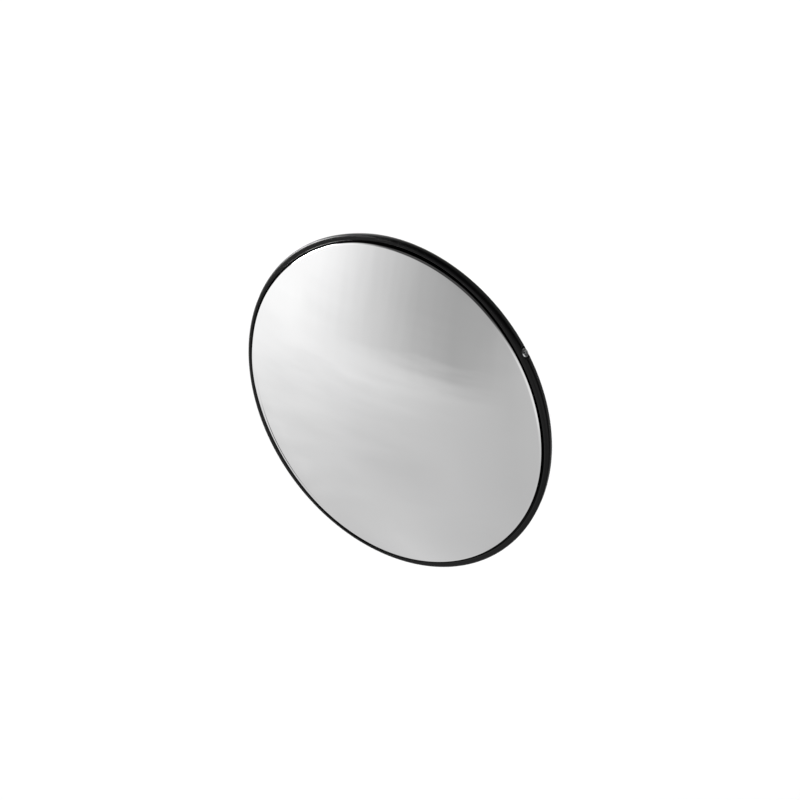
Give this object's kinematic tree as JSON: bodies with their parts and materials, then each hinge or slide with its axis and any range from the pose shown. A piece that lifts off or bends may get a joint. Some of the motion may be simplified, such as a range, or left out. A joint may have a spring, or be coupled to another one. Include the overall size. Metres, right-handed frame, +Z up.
{
  "type": "convex security mirror",
  "caption": "Round convex surveillance mirror with a black edge trim on a ball-joint wall bracket that tilts and turns in any direction.",
  "frame": {"origin": "centre of the wall plate's four screw holes, in the plane of the wall", "axes": "+Y into the wall along the bracket's arm, so the mirror faces -Y at rest; +Z up; +X to the right of a person who looks at the mirror"},
  "size_m": [0.3, 0.1248, 0.3],
  "materials": {
    "silvered_acrylic": "polished acrylic dome, silvered on the inside",
    "foam_rubber": "thin closed-cell foam tape",
    "black_rubber": "satin extruded rubber",
    "black_plastic": "fine-grained moulded ABS",
    "zinc_steel": "bright zinc-plated steel",
    "black_paint": "fine-textured black powder coat on steel",
    "nylon": "natural nylon"
  },
  "bodies": {
    "wall_mount": {"wall_plate": "black_paint", "arm_stem": "zinc_steel", "arm_washer": "zinc_steel", "arm_nut": "zinc_steel", "socket_lock_nut": "zinc_steel"},
    "socket": {"ball_socket": "black_paint", "friction_seat": "nylon"},
    "collar": {"clamp_collar": "black_paint"},
    "ball": {"ball_stud": "zinc_steel", "friction_washer": "nylon", "disc_spring": "zinc_steel", "stud_nut": "zinc_steel"},
    "head": {"mirror_lens": "silvered_acrylic", "lens_gasket": "foam_rubber", "edge_trim": "black_rubber", "back_shell": "black_plastic", "rim_screws": "zinc_steel", "hub_plate": "black_paint", "hub_screws": "zinc_steel", "hub_washers": "zinc_steel", "hub_nuts": "zinc_steel"}
  },
  "joints": [
    {"name": "socket_turn", "type": "hinge", "parent": "wall_mount", "child": "socket", "pos_m": [0, -0.075, 0], "axis": [0, -1, 0], "continuous": true},
    {"name": "collar_turn", "type": "hinge", "parent": "socket", "child": "collar", "pos_m": [0, -0.075, 0], "axis": [0, -1, 0], "range_deg": [0, 180]},
    {"name": "ball_tilt", "type": "hinge", "parent": "socket", "child": "ball", "pos_m": [0, -0.075, 0], "axis": [1, 0, 0], "range_deg": [-30, 30]},
    {"name": "mirror_spin", "type": "hinge", "parent": "ball", "child": "head", "pos_m": [0, -0.075, 0], "axis": [0, -1, 0], "continuous": true}
  ]
}
